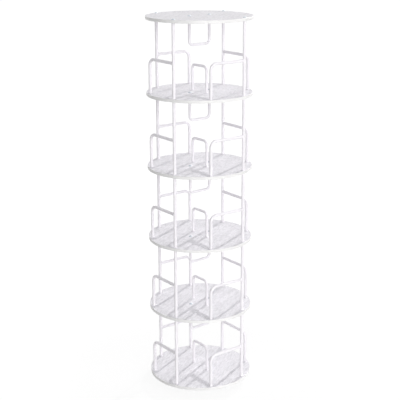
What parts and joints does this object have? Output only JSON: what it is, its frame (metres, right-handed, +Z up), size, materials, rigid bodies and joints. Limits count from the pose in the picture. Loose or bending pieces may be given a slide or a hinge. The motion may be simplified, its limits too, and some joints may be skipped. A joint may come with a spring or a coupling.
{
  "type": "rotating shoe tower",
  "caption": "Free-standing shoe tower: round boards stacked on bent wire side frames, with a standing and a hanging wire loop in each tier, turning on a ball bearing over a smaller base.",
  "frame": {"origin": "on the floor below the turning axis, at the underside of the rubber feet", "axes": "+Z up along the turning axis; +Y away from the viewer and +X to the right in the view that the picture takes"},
  "size_m": [0.3, 0.3, 1.0889],
  "materials": {
    "board": "white laminate, satin",
    "edge_band": "satin",
    "wire": "white powder coat",
    "screw": "plated",
    "bearing_plate": "zinc plated",
    "ball_cage": "matte",
    "bearing_ball": "polished",
    "foot": "matte"
  },
  "bodies": {
    "base": {"base_disc": "board", "base_edge_band": "edge_band", "rubber_feet": "foot", "bearing_lower_plate": "bearing_plate", "lower_plate_screws": "screw"},
    "ball_ring": {"ball_cage": "ball_cage", "bearing_balls": "bearing_ball"},
    "tower": {"bottom_board": "board", "shelf_board_1": "board", "shelf_board_2": "board", "shelf_board_3": "board", "shelf_board_4": "board", "top_board": "board", "bottom_edge_band": "edge_band", "shelf_edge_band_1": "edge_band", "shelf_edge_band_2": "edge_band", "shelf_edge_band_3": "edge_band", "shelf_edge_band_4": "edge_band", "top_edge_band": "edge_band", "side_frame_1_right": "wire", "side_frame_1_back": "wire", "side_frame_1_left": "wire", "side_frame_1_front": "wire", "side_frame_2_right": "wire", "side_frame_2_back": "wire", "side_frame_2_left": "wire", "side_frame_2_front": "wire", "side_frame_3_right": "wire", "side_frame_3_back": "wire", "side_frame_3_left": "wire", "side_frame_3_front": "wire", "side_frame_4_right": "wire", "side_frame_4_back": "wire", "side_frame_4_left": "wire", "side_frame_4_front": "wire", "side_frame_5_right": "wire", "side_frame_5_back": "wire", "side_frame_5_left": "wire", "side_frame_5_front": "wire", "centre_loop_1": "wire", "centre_loop_2": "wire", "centre_loop_3": "wire", "centre_loop_4": "wire", "centre_loop_5": "wire", "hanging_loop_1": "wire", "hanging_loop_2": "wire", "hanging_loop_3": "wire", "hanging_loop_4": "wire", "hanging_loop_5": "wire", "post_studs": "screw", "bottom_post_screws": "screw", "loop_leg_screws": "screw", "centre_loop_screws": "screw", "top_post_screws": "screw", "hanging_loop_screws": "screw", "bearing_upper_plate": "bearing_plate", "upper_plate_screws": "screw"}
  },
  "joints": [
    {"name": "tower_spin", "type": "hinge", "parent": "base", "child": "tower", "pos_m": [0, 0, 0.0165], "axis": [0, 0, 1], "continuous": true},
    {"name": "ball_ring_spin", "type": "hinge", "parent": "base", "child": "ball_ring", "pos_m": [0, 0, 0.0165], "axis": [0, 0, 1], "continuous": true}
  ],
  "couplings": [
    {"joint": "ball_ring_spin", "follows": "tower_spin", "ratio": 0.5}
  ]
}
